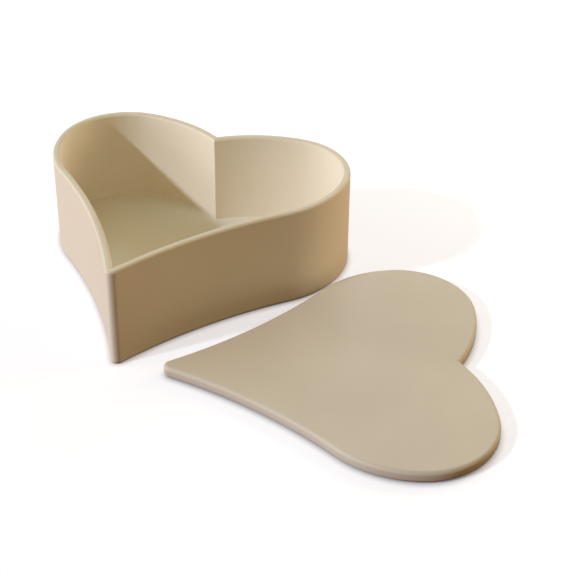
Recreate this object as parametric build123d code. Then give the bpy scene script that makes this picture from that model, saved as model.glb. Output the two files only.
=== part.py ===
from build123d import *
import os
from math import acos, atan2, cos, hypot, radians, sin, sqrt

# A heart-shaped keepsake box and its loose lid, each cast in one piece. The origin is the centre of
# the box's underside, and the heart's tip points along -Y. The lid lies on the table beside the box,
# smooth side up.

# Heart outline, shared by the box and the lid
heart_width = 120.0  # across the two lobes
heart_length = 115.0  # from the top of the lobes to the tip
lobe_radius = 27.3  # outer side of each lobe
crown_radius = 59.0  # inner side of each lobe, running down into the cleft
flank_radius = 38.7  # outward curve below the widest place
hollow_radius = 206.0  # inward curve from the flank to the tip
tip_radius = 2.4  # rounded tip

# Box
box_height = 40.0
wall = 2.8
floor_thickness = 2.5
cavity_point_radius = 0.4  # upright inside corner at the tip
rim_round = 0.7  # both edges of the rim
foot_round = 1.2  # outer edge of the underside

# Lid
lid_overhang = 0.5  # how far the plate stands out past the box's wall, all round
plate_thickness = 4.4
plate_top_round = 1.6
plate_bottom_round = 0.4
plug_depth = 0.6  # locating step under the plate
plug_clearance = 0.5  # all round, between the plug and the wall
plug_point_radius = 0.8
plug_round = 0.3

# Where the lid lies, with angles in degrees about the vertical
lid_bearing = -26.8  # the way from the middle of the box to the middle of the lid, from +X
lid_turn = -69.6
lid_gap = 4.0  # where the lid and the box come nearest
place_tolerance = 0.001


def point_on(center, radius, angle):
    return (center[0] + radius * cos(angle), center[1] + radius * sin(angle))


def arc(center, radius, start, end):
    halfway = (start + end) / 2
    return ThreePointArc(
        point_on(center, radius, start),
        point_on(center, radius, halfway),
        point_on(center, radius, end),
    )


def half_heart(inset, point_radius):
    # The right half's edges, from the cleft to the rounded point, moved inwards by inset.
    widest = heart_length / 2 - lobe_radius
    lobe = (heart_width / 2 - lobe_radius, widest)
    crown = (lobe[0], heart_length / 2 - crown_radius)
    flank = (heart_width / 2 - flank_radius, widest)
    tip = (0.0, tip_radius - heart_length / 2)

    # The hollow is part of a circle outside the heart that touches the flank's and the tip's circles.
    flank_reach = hollow_radius + flank_radius
    tip_reach = hollow_radius + tip_radius
    span = hypot(tip[0] - flank[0], tip[1] - flank[1])
    heading = atan2(tip[1] - flank[1], tip[0] - flank[0])
    opening = acos((span**2 + flank_reach**2 - tip_reach**2) / (2 * span * flank_reach))
    hollow = point_on(flank, flank_reach, heading + opening)
    hollow_arc = hollow_radius + inset
    point = (0.0, hollow[1] + sqrt((hollow_arc + point_radius) ** 2 - hollow[0] ** 2))

    cleft_angle = acos(-crown[0] / (crown_radius - inset))
    to_flank = atan2(flank[1] - hollow[1], flank[0] - hollow[0])
    to_point = atan2(point[1] - hollow[1], point[0] - hollow[0])
    return [
        arc(crown, crown_radius - inset, cleft_angle, radians(90)),
        arc(lobe, lobe_radius - inset, radians(90), 0.0),
        arc(flank, flank_radius - inset, 0.0, to_flank - radians(180)),
        arc(hollow, hollow_arc, to_flank, to_point),
        arc(point, point_radius, to_point - radians(180), radians(-90)),
    ]


def heart_face(inset, point_radius):
    right = half_heart(inset, point_radius)
    left = [edge.mirror(Plane.YZ) for edge in right]
    return make_face(Wire(right + left)).face()


def heart(inset, point_radius, bottom, height):
    # A flat-ended heart from bottom up to bottom + height.
    return Pos(0, 0, bottom) * extrude(heart_face(inset, point_radius), height)


def edges_at(shape, height):
    return shape.edges().filter_by_position(Axis.Z, height, height)


def make_box_body():
    outside = heart(0.0, tip_radius, 0.0, box_height)
    outside = fillet(edges_at(outside, 0.0), foot_round)
    body = outside - heart(wall, cavity_point_radius, floor_thickness, box_height)
    return fillet(edges_at(body, box_height), rim_round)


def lid_at(distance):
    return Rot(0, 0, lid_bearing) * Pos(distance, 0, 0) * Rot(0, 0, lid_turn - lid_bearing)


def lid_place():
    # Halves the range of distances until the lid's edge lies lid_gap from the box.
    outline = heart_face(0.0, tip_radius)
    plate = heart_face(-lid_overhang, tip_radius + lid_overhang)
    near = 0.0
    far = heart_width + heart_length + lid_gap
    while far - near > place_tolerance:
        middle = (near + far) / 2
        if outline.distance_to(lid_at(middle) * plate) < lid_gap:
            near = middle
        else:
            far = middle
    return lid_at(far)


def make_lid():
    plate = heart(-lid_overhang, tip_radius + lid_overhang, plug_depth, plate_thickness)
    plate = fillet(edges_at(plate, plug_depth + plate_thickness), plate_top_round)
    plate = fillet(edges_at(plate, plug_depth), plate_bottom_round)
    plug = heart(wall + plug_clearance, plug_point_radius, 0.0, plug_depth)
    plug = fillet(edges_at(plug, 0.0), plug_round)
    return lid_place() * (plate + plug)


os.makedirs("parts", exist_ok=True)
export_step(make_box_body(), "parts/box_body.step")
export_step(make_lid(), "parts/lid.step")
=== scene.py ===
import bpy
from math import acos, atan2, cos, hypot, pi, radians, sin, sqrt
from mathutils import Matrix, Quaternion, Vector, noise


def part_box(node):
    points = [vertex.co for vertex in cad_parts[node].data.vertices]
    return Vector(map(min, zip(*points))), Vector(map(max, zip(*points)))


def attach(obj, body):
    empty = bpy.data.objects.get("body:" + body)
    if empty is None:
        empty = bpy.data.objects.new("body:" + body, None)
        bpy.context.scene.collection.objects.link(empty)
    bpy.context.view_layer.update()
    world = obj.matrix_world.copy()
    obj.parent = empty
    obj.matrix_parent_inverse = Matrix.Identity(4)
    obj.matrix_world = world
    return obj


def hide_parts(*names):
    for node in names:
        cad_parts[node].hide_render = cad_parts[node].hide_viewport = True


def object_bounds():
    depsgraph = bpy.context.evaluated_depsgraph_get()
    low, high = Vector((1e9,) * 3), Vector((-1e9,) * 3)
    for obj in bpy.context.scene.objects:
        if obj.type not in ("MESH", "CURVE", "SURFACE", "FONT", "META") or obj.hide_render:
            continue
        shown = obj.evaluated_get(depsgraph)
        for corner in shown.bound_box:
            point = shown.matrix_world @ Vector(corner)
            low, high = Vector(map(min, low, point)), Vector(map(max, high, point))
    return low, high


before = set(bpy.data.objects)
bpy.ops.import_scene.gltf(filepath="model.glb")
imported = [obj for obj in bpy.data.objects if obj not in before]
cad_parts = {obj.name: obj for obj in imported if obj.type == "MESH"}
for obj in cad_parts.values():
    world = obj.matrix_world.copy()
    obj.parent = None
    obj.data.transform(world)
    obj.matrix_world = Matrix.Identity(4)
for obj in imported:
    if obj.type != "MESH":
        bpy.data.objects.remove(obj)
cadLow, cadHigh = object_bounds()
boxLow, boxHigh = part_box("box_body")
lidLow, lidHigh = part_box("lid")
print("frame loaded")


# Socket arithmetic: values go through Math, vectors through Vector Math, colours through Mix.
class Wire:
    def __init__(self, tree, socket=None):
        self.tree = tree
        self.socket = socket

    def node(self, kind, settings=None, inputs=None, output=0):
        made = self.tree.nodes.new(kind)
        for name, value in (settings or {}).items():
            if name == "stops":
                self.fillRamp(made.color_ramp, value)
            else:
                setattr(made, name, value)
        for name, value in (inputs or {}).items():
            if isinstance(value, Wire):
                self.tree.links.new(value.socket, made.inputs[name])
            else:
                made.inputs[name].default_value = value
        return Wire(self.tree, made.outputs[output]) if made.outputs else made

    def fillRamp(self, ramp, stops):
        while len(ramp.elements) < len(stops):
            ramp.elements.new(1.0)
        for element, (place, shade) in zip(ramp.elements, stops):
            element.position = place
            element.color = (*shade, 1.0) if isinstance(shade, tuple) else (shade, shade, shade, 1.0)

    def value(self, operation, first, second):
        return self.node("ShaderNodeMath", {"operation": operation}, {0: first, 1: second})

    def __add__(self, other):
        return self.value("ADD", self, other)

    def __radd__(self, other):
        return self.value("ADD", other, self)

    def __sub__(self, other):
        return self.value("SUBTRACT", self, other)

    def __rsub__(self, other):
        return self.value("SUBTRACT", other, self)

    def __mul__(self, other):
        if self.socket.type == "VECTOR":
            return self.node(
                "ShaderNodeVectorMath", {"operation": "SCALE"}, {"Vector": self, "Scale": other}
            )
        return self.value("MULTIPLY", self, other)

    def __rmul__(self, other):
        return self * other

    def blend(self, factor, first, second):
        # Colour inputs are the seventh and eighth sockets of a Mix node, its colour the third output.
        return self.node("ShaderNodeMix", {"data_type": "RGBA"}, {0: factor, 6: first, 7: second}, 2)


def newTree(holder):
    holder.use_nodes = True
    holder.node_tree.nodes.clear()
    return Wire(holder.node_tree)


# The heart's outline, in metres. Width and length come from the frame.
heartShape = {
    "width": boxHigh.x - boxLow.x,
    "length": boxHigh.y - boxLow.y,
    "lobeRadius": 0.0273,
    "crownRadius": 0.059,
    "flankRadius": 0.0387,
    "hollowRadius": 0.206,
    "tipRadius": 0.0024,
    "cleftRadius": 0.0003,  # the crease between the lobes
    "fillCentre": 0.010,  # how far above the middle the flat faces are gathered
    "steps": {"cleft": 4, "crown": 28, "lobe": 36, "flank": 26, "hollow": 58, "tip": 12},
}


def onCircle(centre, radius, angle):
    return Vector((centre[0] + radius * cos(angle), centre[1] + radius * sin(angle)))


def arcPoints(centre, radius, start, end, steps):
    return [onCircle(centre, radius, start + (end - start) * i / steps) for i in range(steps)]


def heartLoop(inset, pointRadius):
    # One closed loop of points, moved inwards by inset, from the cleft round the right half first.
    h = heartShape
    widest = h["length"] / 2 - h["lobeRadius"]
    lobe = (h["width"] / 2 - h["lobeRadius"], widest)
    crown = (lobe[0], h["length"] / 2 - h["crownRadius"])
    flank = (h["width"] / 2 - h["flankRadius"], widest)
    tip = (0.0, h["tipRadius"] - h["length"] / 2)

    # The hollow's circle touches the flank's circle and the tip's.
    flankReach = h["hollowRadius"] + h["flankRadius"]
    tipReach = h["hollowRadius"] + h["tipRadius"]
    span = hypot(tip[0] - flank[0], tip[1] - flank[1])
    heading = atan2(tip[1] - flank[1], tip[0] - flank[0])
    opening = acos((span**2 + flankReach**2 - tipReach**2) / (2 * span * flankReach))
    hollow = onCircle(flank, flankReach, heading + opening)
    hollowArc = h["hollowRadius"] + inset
    point = (0.0, hollow[1] + sqrt((hollowArc + pointRadius) ** 2 - hollow[0] ** 2))

    # The crease is a small circle above the cleft that touches both crowns.
    crownArc = h["crownRadius"] - inset
    creaseReach = crownArc + h["cleftRadius"]
    crease = (0.0, crown[1] + sqrt(creaseReach**2 - crown[0] ** 2))
    toCrown = atan2(crown[1] - crease[1], crown[0] - crease[0])
    toFlank = atan2(flank[1] - hollow[1], flank[0] - hollow[0])
    toPoint = atan2(point[1] - hollow[1], point[0] - hollow[0])

    steps = h["steps"]
    right = arcPoints(crease, h["cleftRadius"], -pi / 2, toCrown, steps["cleft"])
    right += arcPoints(crown, crownArc, toCrown + pi, pi / 2, steps["crown"])
    right += arcPoints(lobe, h["lobeRadius"] - inset, pi / 2, 0.0, steps["lobe"])
    right += arcPoints(flank, h["flankRadius"] - inset, 0.0, toFlank - pi, steps["flank"])
    right += arcPoints(hollow, hollowArc, toFlank, toPoint, steps["hollow"])
    right += arcPoints(point, pointRadius, toPoint - pi, -pi / 2, steps["tip"])
    right.append(Vector((0.0, point[1] - pointRadius)))
    left = [Vector((-p.x, p.y)) for p in reversed(right[1:-1])]
    return right + left


def quarter(centre, radii, start, end, steps):
    # Part of an ellipse in the profile's own plane, as (inset, height) pairs.
    turns = [radians(start + (end - start) * i / steps) for i in range(steps + 1)]
    return [(centre[0] + radii[0] * cos(a), centre[1] + radii[1] * sin(a)) for a in turns]


def straight(start, end, steps):
    # The places between two ends of a straight stretch, without the ends.
    shares = [(i + 1) / (steps + 1) for i in range(steps)]
    return [
        (start[0] + (end[0] - start[0]) * s, start[1] + (end[1] - start[1]) * s) for s in shares
    ]


# How a poured surface wavers: the middle of its range, and how much each size of wave adds.
wavering = {
    "middle": 0.5,
    "broadShare": 0.75,
    "fineShare": 0.25,
}


def unevenness(place, settings):
    # How far a hand-poured surface falls short of the mould, from 0 to the most it may be.
    w = wavering
    broad = noise.noise(place * settings["broad"])
    fine = noise.noise(place * settings["fine"])
    share = w["middle"] + w["broadShare"] * broad + w["fineShare"] * fine
    return settings["depth"] * min(1.0, max(0.0, share))


def castPiece(name, profile, pointRadius, settings):
    # Sweeps a profile of (inset, height) pairs round the heart and closes both flat ends.
    tipRadius = heartShape["tipRadius"]
    gather = Vector((0.0, heartShape["fillCentre"]))
    rings = []
    for inset, height in profile:
        loop = heartLoop(inset, max(tipRadius - inset, pointRadius))
        rings.append([Vector((p.x, p.y, height)) for p in loop])
    fills = settings["fillRings"]
    for end in (0, -1):
        edge = rings[end]
        middle = Vector((gather.x, gather.y, edge[0].z))
        inner = [[middle.lerp(p, 1 - (i + 1) / (fills + 1)) for p in edge] for i in range(fills)]
        rings = list(reversed(inner)) + rings if end == 0 else rings + inner

    count = len(rings[0])
    vertices = []
    for ring in rings:
        for i, p in enumerate(ring):
            along = ring[(i + 1) % count] - ring[i - 1]
            inwards = Vector((-along.y, along.x, 0.0)).normalized() * -1.0
            shortfall = unevenness(p, settings) if p.z > settings["flatBelow"] else 0.0
            sink = shortfall if p.z > settings["rimAbove"] else 0.0
            vertices.append(p + inwards * shortfall - Vector((0.0, 0.0, sink)))
    faces = []
    for r in range(len(rings) - 1):
        for i in range(count):
            j = (i + 1) % count
            faces.append((r * count + i, (r + 1) * count + i, (r + 1) * count + j, r * count + j))
    for r, height in ((0, rings[0][0].z), (len(rings) - 1, rings[-1][0].z)):
        vertices.append(Vector((gather.x, gather.y, height)))
        hub = len(vertices) - 1
        for i in range(count):
            j = (i + 1) % count
            pair = (r * count + i, r * count + j) if r == 0 else (r * count + j, r * count + i)
            faces.append((*pair, hub))
    mesh = bpy.data.meshes.new(name)
    mesh.from_pydata(vertices, [], faces)
    mesh.update()
    mesh.shade_smooth()
    piece = bpy.data.objects.new(name, mesh)
    bpy.context.scene.collection.objects.link(piece)
    return piece


# The box: one casting, with softened rim and foot.
boxCasting = {
    "height": boxHigh.z,
    "wall": 0.0028,
    "floor": 0.0025,
    "footRound": 0.0012,
    "rimRound": 0.0010,
    "floorCorner": 0.0004,
    "cavityPoint": 0.0004,
    "hold": 0.0003,  # a narrow band beside each round, which keeps the shading tight
    "roundSteps": 6,
    "wallSteps": 18,
    "rimSteps": 2,
    "cornerSteps": 3,
    "fillRings": 14,
    "broad": 38.0,
    "fine": 150.0,
    "depth": 0.00006,
    "flatBelow": 0.0012,
    "rimAbove": boxHigh.z - 0.0011,
}


def makeBox():
    c = boxCasting
    top, wall, rim = c["height"], c["wall"], c["rimRound"]
    foot, corner, hold = c["footRound"], c["floorCorner"], c["hold"]
    n = c["roundSteps"]
    profile = [(foot + hold, 0.0)]
    profile += quarter((foot, foot), (foot, foot), 270, 180, n)
    profile += [(0.0, foot + hold)]
    profile += straight((0.0, foot + hold), (0.0, top - rim - hold), c["wallSteps"])
    profile += [(0.0, top - rim - hold)]
    profile += quarter((rim, top - rim), (rim, rim), 180, 90, n)
    profile += straight((rim, top), (wall - rim, top), c["rimSteps"])
    profile += quarter((wall - rim, top - rim), (rim, rim), 90, 0, n)
    profile += [(wall, top - rim - hold)]
    low = c["floor"] + corner
    profile += straight((wall, top - rim - hold), (wall, low + hold), c["wallSteps"])
    profile += [(wall, low + hold)]
    profile += quarter((wall + corner, low), (corner, corner), 180, 270, c["cornerSteps"])
    profile += [(wall + corner + hold, c["floor"])]
    return castPiece("heartBox", profile, c["cavityPoint"], c)


# The lid: a plate with a soft crowned edge, on a shallow locating plug.
lidCasting = {
    "height": lidHigh.z,
    "overhang": 0.0005,  # past the box's wall, all round
    "plugDepth": 0.0006,
    "plugInset": 0.0033,
    "plugRound": 0.0003,
    "plugPoint": 0.0008,
    "underRound": 0.0011,
    "crownWidth": 0.0013,
    "crownDrop": 0.0016,
    "hold": 0.0003,
    "roundSteps": 5,
    "ledgeSteps": 3,
    "crownSteps": 14,
    "fillRings": 14,
    "broad": 34.0,
    "fine": 140.0,
    "depth": 0.00005,
    "flatBelow": 0.0013,
    "rimAbove": 1.0,  # never, so the top stays at its full height
    "turn": -69.6,  # degrees, as the frame has it
}


def makeLid():
    c = lidCasting
    top, plug, inset, under = c["height"], c["plugDepth"], c["plugInset"], c["underRound"]
    n, hold = c["roundSteps"], c["hold"]
    r = c["plugRound"]
    shoulder = top - c["crownDrop"]
    out, crown = -c["overhang"], c["crownWidth"]
    profile = [(inset + r + hold, 0.0)]
    profile += quarter((inset + r, r), (r, r), 270, 180, n)
    profile += [(inset, plug)]
    profile += straight((inset, plug), (out + under, plug), c["ledgeSteps"])
    profile += quarter((out + under, plug + under), (under, under), 270, 180, n)
    profile += [(out, shoulder - hold)]
    profile += quarter((out + crown, shoulder), (crown, c["crownDrop"]), 180, 90, c["crownSteps"])
    profile += [(out + crown + 2 * hold, top)]
    piece = castPiece("heartLid", profile, c["plugPoint"], c)

    # The frame gives the lid's place, and its own box gives the middle.
    middle = (lidLow + lidHigh) / 2
    spread = [Matrix.Rotation(radians(c["turn"]), 3, "Z") @ v.co for v in piece.data.vertices]
    shift = Vector((
        middle.x - (min(p.x for p in spread) + max(p.x for p in spread)) / 2,
        middle.y - (min(p.y for p in spread) + max(p.y for p in spread)) / 2,
        0.0,
    ))
    for vertex, place in zip(piece.data.vertices, spread):
        vertex.co = place + shift
    piece.data.update()
    return piece


# The cast body: warm cream, matt, with the faint clouding and pinholes of a poured piece.
creamCast = {
    "box": {
        "pale": (0.81, 0.71, 0.60),
        "deep": (0.77, 0.67, 0.56),
        "speck": (0.62, 0.52, 0.42),
        # painted shade: a darker tone for the rim's level top
        "paintedTopShade": (0.64, 0.55, 0.47),
        "levelAbove": boxHigh.z - 0.0012,
        # painted light: a greyer tone for the floor inside, standing in for its light
        "paintedFloorTint": (0.76, 0.71, 0.67),
        "floorBelow": 0.004,
        "seed": 1.0,
    },
    "lid": {
        # Painted shade: the lid's tones are the box's cream made darker.
        "pale": (0.72, 0.63, 0.545),
        "deep": (0.68, 0.59, 0.505),
        "speck": (0.46, 0.38, 0.31),
        # painted shade: a darker tone for the lid's level top
        "paintedTopShade": (0.548, 0.468, 0.418),
        "levelAbove": lidHigh.z - 0.0016,
        "seed": 4.0,
    },
    "cloud": {"Scale": 22.0, "Detail": 5.0, "Roughness": 0.55},
    "cloudStops": [(0.35, 0.0), (0.68, 1.0)],
    "cloudShare": 0.6,
    "grain": {"Scale": 1400.0, "Detail": 3.0, "Roughness": 0.6},
    "grainSeed": 7.0,
    "grainShare": 0.5,
    "grainDepth": 0.00002,
    "pinholeSize": 260.0,
    "pinholeStops": [(0.05, 1.0), (0.11, 0.0)],
    "pinholeDepth": 0.00012,
    "pinholeTone": 0.7,
    "patch": {"Scale": 90.0, "Detail": 1.0},  # where the pinholes gather
    "patchSeed": 13.0,
    "patchStops": [(0.66, 0.0), (0.70, 1.0)],
    "levelStops": [(0.35, 0.0), (0.9, 1.0)],
    "levelClouds": 0.25,
    "floorClouds": 0.3,
    "roughLow": 0.60,
    "roughHigh": 0.78,
    "gloss": {"IOR": 1.45, "Specular IOR Level": 0.35},
}


def makeCream(name, tones):
    c = creamCast
    material = bpy.data.materials.new(name)
    tree = newTree(material)
    place = tree.node("ShaderNodeTexCoord", output=3)
    facing = tree.node("ShaderNodeTexCoord", output=1)

    def speckle(settings, seed):
        inputs = {"Vector": place, "W": tones["seed"] + seed, **settings}
        return tree.node("ShaderNodeTexNoise", {"noise_dimensions": "4D"}, inputs)

    def ramp(stops, value):
        return tree.node("ShaderNodeValToRGB", {"stops": stops}, {"Fac": value})

    def compare(operation, value, limit):
        return tree.node("ShaderNodeMath", {"operation": operation}, {0: value, 1: limit})

    grain = speckle(c["grain"], c["grainSeed"])
    clouds = ramp(c["cloudStops"], speckle(c["cloud"], 0.0))
    cell = tree.node(
        "ShaderNodeTexVoronoi",
        {"voronoi_dimensions": "3D", "feature": "F1"},
        {"Vector": place, "Scale": c["pinholeSize"]},
    )
    where = ramp(c["patchStops"], speckle(c["patch"], c["patchSeed"]))
    pinhole = ramp(c["pinholeStops"], cell) * where
    clouded = clouds * c["cloudShare"] + (grain - 0.5) * c["grainShare"]
    colour = tree.blend(clouded, (*tones["pale"], 1.0), (*tones["deep"], 1.0))
    # Painted shade: pinholes take the darker speck colour as well as sinking in the bump.
    colour = tree.blend(pinhole * c["pinholeTone"], colour, (*tones["speck"], 1.0))

    # Painted shade: level tops are made a little darker than the walls. Painted light: the floor
    # inside is made greyer.
    upright = tree.node("ShaderNodeSeparateXYZ", inputs={"Vector": facing}, output=2)
    tall = tree.node("ShaderNodeSeparateXYZ", inputs={"Vector": place}, output=2)
    level = ramp(c["levelStops"], upright)
    high = compare("GREATER_THAN", tall, tones["levelAbove"])
    paintedTopShare = level * high * (1.0 - c["levelClouds"] + clouds * c["levelClouds"])
    colour = tree.blend(paintedTopShare, colour, (*tones["paintedTopShade"], 1.0))
    if "paintedFloorTint" in tones:
        low = compare("LESS_THAN", tall, tones["floorBelow"])
        paintedFloorShare = level * low * (1.0 - c["floorClouds"] + clouds * c["floorClouds"])
        colour = tree.blend(paintedFloorShare, colour, (*tones["paintedFloorTint"], 1.0))

    rough = c["roughLow"] + (c["roughHigh"] - c["roughLow"]) * (clouds * 0.5 + grain * 0.5)
    height = grain * c["grainDepth"] - pinhole * c["pinholeDepth"]
    normal = tree.node("ShaderNodeBump", inputs={"Height": height, "Distance": 1.0, "Strength": 1.0})
    shader = tree.node(
        "ShaderNodeBsdfPrincipled",
        inputs={"Base Color": colour, "Roughness": rough, "Normal": normal, **c["gloss"]},
    )
    tree.node("ShaderNodeOutputMaterial", inputs={"Surface": shader})
    return material


# Floor, light and camera
studio = {
    "floorSize": 4.0,
    "floorPale": (0.57, 0.54, 0.54),
    "floorGlow": 0.64,
    "glowTint": (0.83, 0.86, 0.98),
    "contactReach": 0.0025,  # the glow fades this near to whatever touches the table
    "contactSamples": 8,
    "beyond": (0.98, 0.98, 0.98),
    "floorBounce": (0.16, 0.025, 0.0),
    "keyBearing": -136.0,
    "keyElevation": 31.5,
    "keySpread": 3.5,
    "keyPower": 1.94,
    "keyDistance": 1.0,
    "keyColour": (0.776, 0.871, 1.0),
    "skyHigh": (0.47, 0.42, 0.20),
    "skyLow": (0.02, 0.015, 0.01),
    "skyFullAt": 0.7,  # how steep a way up has the full colour
}

# Soft lamps: bearing from +X and elevation in degrees, distance and size in metres, then power in
# watts for each colour.
softLamps = {
    "rightGlow": (40.0, 22.0, 0.45, 0.25, (0.96, 0.77, 0.53)),
    "backWindow": (90.0, 28.0, 0.9, 0.5, (1.4, 1.9, 2.4)),
    "leftGlow": (-168.0, 11.0, 0.9, 0.5, (3.9, 3.8, 3.5)),
}


def makeFloor():
    s = studio
    half = s["floorSize"] / 2
    middle = (cadLow + cadHigh) / 2
    corners = [(-half, -half), (half, -half), (half, half), (-half, half)]
    mesh = bpy.data.meshes.new("table")
    mesh.from_pydata([(middle.x + x, middle.y + y, cadLow.z) for x, y in corners], [], [(0, 1, 2, 3)])
    floor = bpy.data.objects.new("table", mesh)
    bpy.context.scene.collection.objects.link(floor)
    material = bpy.data.materials.new("tableTop")
    tree = newTree(material)

    # The camera sees a pale table that glows where nothing is near. Other rays meet a dark warm one.
    seen = tree.node("ShaderNodeLightPath", output=0)
    pale = tree.node("ShaderNodeBsdfDiffuse", inputs={"Color": (*s["floorPale"], 1.0)})
    near = {"Color": (*s["glowTint"], 1.0), "Distance": s["contactReach"]}
    clear = tree.node("ShaderNodeAmbientOcclusion", {"samples": s["contactSamples"]}, near)
    glow = tree.node("ShaderNodeEmission", inputs={"Color": clear, "Strength": s["floorGlow"]})
    shown = tree.node("ShaderNodeAddShader", inputs={0: pale, 1: glow})
    bounced = tree.node("ShaderNodeBsdfDiffuse", inputs={"Color": (*s["floorBounce"], 1.0)})
    surface = tree.node("ShaderNodeMixShader", inputs={0: seen, 1: bounced, 2: shown})
    tree.node("ShaderNodeOutputMaterial", inputs={"Surface": surface})
    mesh.materials.append(material)


def makeSky():
    s = studio
    world = bpy.data.worlds.new("studio")
    bpy.context.scene.world = world
    tree = newTree(world)
    way = tree.node("ShaderNodeTexCoord", output=0)
    up = tree.node("ShaderNodeSeparateXYZ", inputs={"Vector": way}, output=2)
    stops = [(0.0, s["skyLow"]), (s["skyFullAt"], s["skyHigh"])]
    shade = tree.node("ShaderNodeValToRGB", {"stops": stops}, {"Fac": up})
    seen = tree.node("ShaderNodeLightPath", output=0)
    colour = tree.blend(seen, shade, (*s["beyond"], 1.0))
    back = tree.node("ShaderNodeBackground", inputs={"Color": colour, "Strength": 1.0})
    tree.node("ShaderNodeOutputWorld", inputs={"Surface": back})


def hangLamp(name, lamp, bearing, elevation, distance):
    # Aims a lamp at the middle of the arrangement.
    a, e = radians(bearing), radians(elevation)
    towards = Vector((cos(a) * cos(e), sin(a) * cos(e), sin(e)))
    middle = (cadLow + cadHigh) / 2
    held = bpy.data.objects.new(name, lamp)
    bpy.context.scene.collection.objects.link(held)
    held.location = Vector((middle.x, middle.y, cadLow.z)) + towards * distance
    held.rotation_mode = "QUATERNION"
    held.rotation_quaternion = towards.to_track_quat("Z", "Y")


def makeKey():
    s = studio
    lamp = bpy.data.lights.new("key", "SUN")
    lamp.energy = s["keyPower"]
    lamp.angle = radians(s["keySpread"])
    lamp.color = s["keyColour"]
    hangLamp("key", lamp, s["keyBearing"], s["keyElevation"], s["keyDistance"])


def makeSoftLamps():
    for name, (bearing, elevation, distance, size, watts) in softLamps.items():
        lamp = bpy.data.lights.new(name, "AREA")
        lamp.shape = "SQUARE"
        lamp.size = size
        lamp.energy = max(watts)
        lamp.color = [w / max(watts) for w in watts]
        hangLamp(name, lamp, bearing, elevation, distance)


viewing = {
    "azimuth": 18.56,
    "elevation": 33.97,
    "distance": 0.5904,
    "roll": 0.53,
    "lens": 95.2,
    "sensor": 36.0,
    "nearest": 0.01,
    "farthest": 20.0,
    "aimBeside": (0.0017, 0.0251),  # from the middle of the whole arrangement
}


def makeCamera():
    v = viewing
    middle = (cadLow + cadHigh) / 2
    aim = Vector((middle.x + v["aimBeside"][0], middle.y + v["aimBeside"][1], cadLow.z))
    a, e = radians(v["azimuth"]), radians(v["elevation"])
    back = Vector((sin(a) * cos(e), -cos(a) * cos(e), sin(e)))
    data = bpy.data.cameras.new("view")
    data.sensor_width = v["sensor"]
    data.lens = v["lens"]
    data.clip_start = v["nearest"]
    data.clip_end = v["farthest"]
    camera = bpy.data.objects.new("view", data)
    bpy.context.scene.collection.objects.link(camera)
    camera.location = aim + back * v["distance"]
    camera.rotation_mode = "QUATERNION"
    level = (-back).to_track_quat("-Z", "Y")
    camera.rotation_quaternion = level @ Quaternion((0, 0, 1), radians(v["roll"]))
    bpy.context.scene.camera = camera


makeCamera()
makeKey()
makeSoftLamps()
makeSky()
makeFloor()
bpy.context.scene.view_settings.view_transform = "Standard"
print("studio ready")

heartBox = makeBox()
heartBox.data.materials.append(makeCream("creamCastBox", creamCast["box"]))
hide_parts("box_body")
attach(heartBox, "box")
print("box cast")

heartLid = makeLid()
heartLid.data.materials.append(makeCream("creamCastLid", creamCast["lid"]))
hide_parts("lid")
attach(heartLid, "lid")
print("lid cast")
